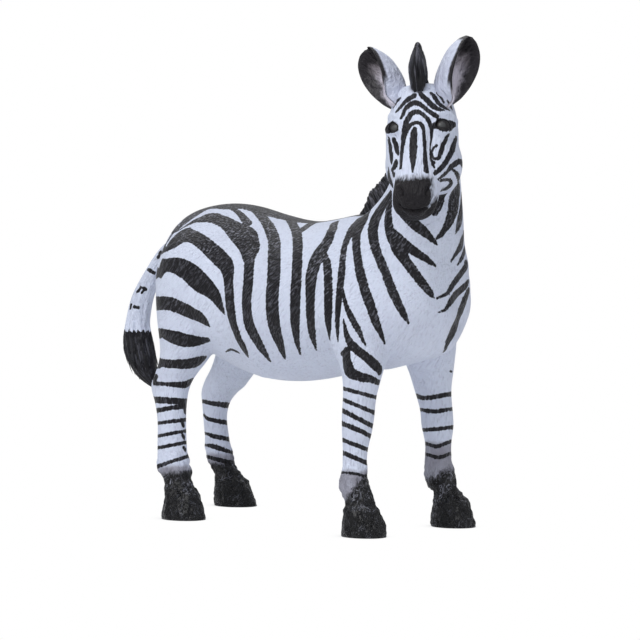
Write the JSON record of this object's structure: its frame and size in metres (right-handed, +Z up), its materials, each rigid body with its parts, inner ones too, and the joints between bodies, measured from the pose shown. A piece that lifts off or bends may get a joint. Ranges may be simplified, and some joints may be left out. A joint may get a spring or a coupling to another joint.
{
  "type": "toy zebra figure",
  "caption": "Small solid toy zebra standing on its hooves, head turned to its right, with a striped coat, upright mane and hanging tail, for pretend play or display.",
  "frame": {"origin": "centre of the figure's bounds in plan, at the height of the soles", "axes": "+X forward towards the chest, +Y to the animal's own left, +Z up"},
  "size_m": [0.0988, 0.0336, 0.0901],
  "materials": {
    "painted_vinyl": "cool white vinyl with satin near-black painted stripes, a charcoal muzzle and glossier black hooves",
    "mane_vinyl": "dark charcoal vinyl with grooves for the hair, satin"
  },
  "bodies": {
    "root": {"trunk": "painted_vinyl", "neck": "painted_vinyl", "head": "painted_vinyl", "left_ear": "painted_vinyl", "right_ear": "painted_vinyl", "right_foreleg": "painted_vinyl", "left_foreleg": "painted_vinyl", "right_hind_leg": "painted_vinyl", "left_hind_leg": "painted_vinyl", "tail": "painted_vinyl", "mane": "mane_vinyl"}
  },
  "joints": []
}
